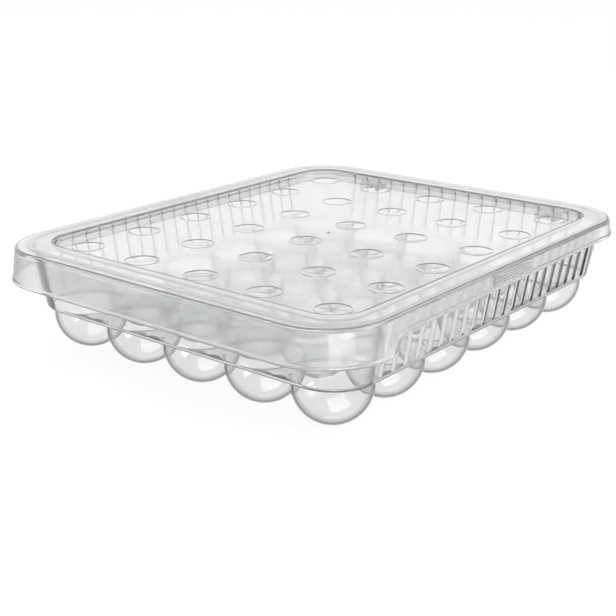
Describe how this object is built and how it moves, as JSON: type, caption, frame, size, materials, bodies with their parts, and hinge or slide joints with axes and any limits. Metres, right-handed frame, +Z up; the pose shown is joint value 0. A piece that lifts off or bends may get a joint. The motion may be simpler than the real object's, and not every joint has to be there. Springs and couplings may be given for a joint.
{
  "type": "egg keeper",
  "caption": "Clear plastic egg keeper: round cups hang from a shallow fluted tray, and a dimpled lid with a deep front lip flips up on hinges at the back.",
  "frame": {"origin": "middle of the part's box at the level of the cup bottoms that it stands on", "axes": "+Z up, -Y towards the front lip, +X to the right when the lip faces the viewer"},
  "size_m": [0.2878, 0.3456, 0.0713],
  "materials": {
    "clear_tray": "clear, polished",
    "clear_lid": "clear, polished"
  },
  "bodies": {
    "tray": {"cup_1_1": "clear_tray", "cup_2_1": "clear_tray", "cup_3_1": "clear_tray", "cup_4_1": "clear_tray", "cup_5_1": "clear_tray", "cup_1_2": "clear_tray", "cup_2_2": "clear_tray", "cup_3_2": "clear_tray", "cup_4_2": "clear_tray", "cup_5_2": "clear_tray", "cup_1_3": "clear_tray", "cup_2_3": "clear_tray", "cup_3_3": "clear_tray", "cup_4_3": "clear_tray", "cup_5_3": "clear_tray", "cup_1_4": "clear_tray", "cup_2_4": "clear_tray", "cup_3_4": "clear_tray", "cup_4_4": "clear_tray", "cup_5_4": "clear_tray", "cup_1_5": "clear_tray", "cup_2_5": "clear_tray", "cup_3_5": "clear_tray", "cup_4_5": "clear_tray", "cup_5_5": "clear_tray", "cup_1_6": "clear_tray", "cup_2_6": "clear_tray", "cup_3_6": "clear_tray", "cup_4_6": "clear_tray", "cup_5_6": "clear_tray", "tray_deck_1": "clear_tray", "tray_deck_2": "clear_tray", "tray_deck_3": "clear_tray", "tray_deck_4": "clear_tray", "tray_deck_5": "clear_tray", "tray_deck_6": "clear_tray", "tray_deck_7": "clear_tray", "tray_front_wall": "clear_tray", "tray_back_wall": "clear_tray", "tray_left_wall": "clear_tray", "tray_right_wall": "clear_tray", "tray_hinge_ears": "clear_tray"},
    "lid": {"lid_panel": "clear_lid", "lid_recess_wall": "clear_lid", "lid_front_rim": "clear_lid", "lid_back_rim": "clear_lid", "lid_left_rim": "clear_lid", "lid_right_rim": "clear_lid", "lid_front_lip": "clear_lid", "lid_back_skirt": "clear_lid", "lid_left_skirt": "clear_lid", "lid_right_skirt": "clear_lid", "lid_left_grip": "clear_lid", "lid_right_grip": "clear_lid", "lid_hinge_clips": "clear_lid"}
  },
  "joints": [
    {"name": "lid_hinge", "type": "hinge", "parent": "tray", "child": "lid", "pos_m": [0, 0.16945, 0.0561], "axis": [-1, 0, 0], "range_deg": [0, 110]}
  ]
}
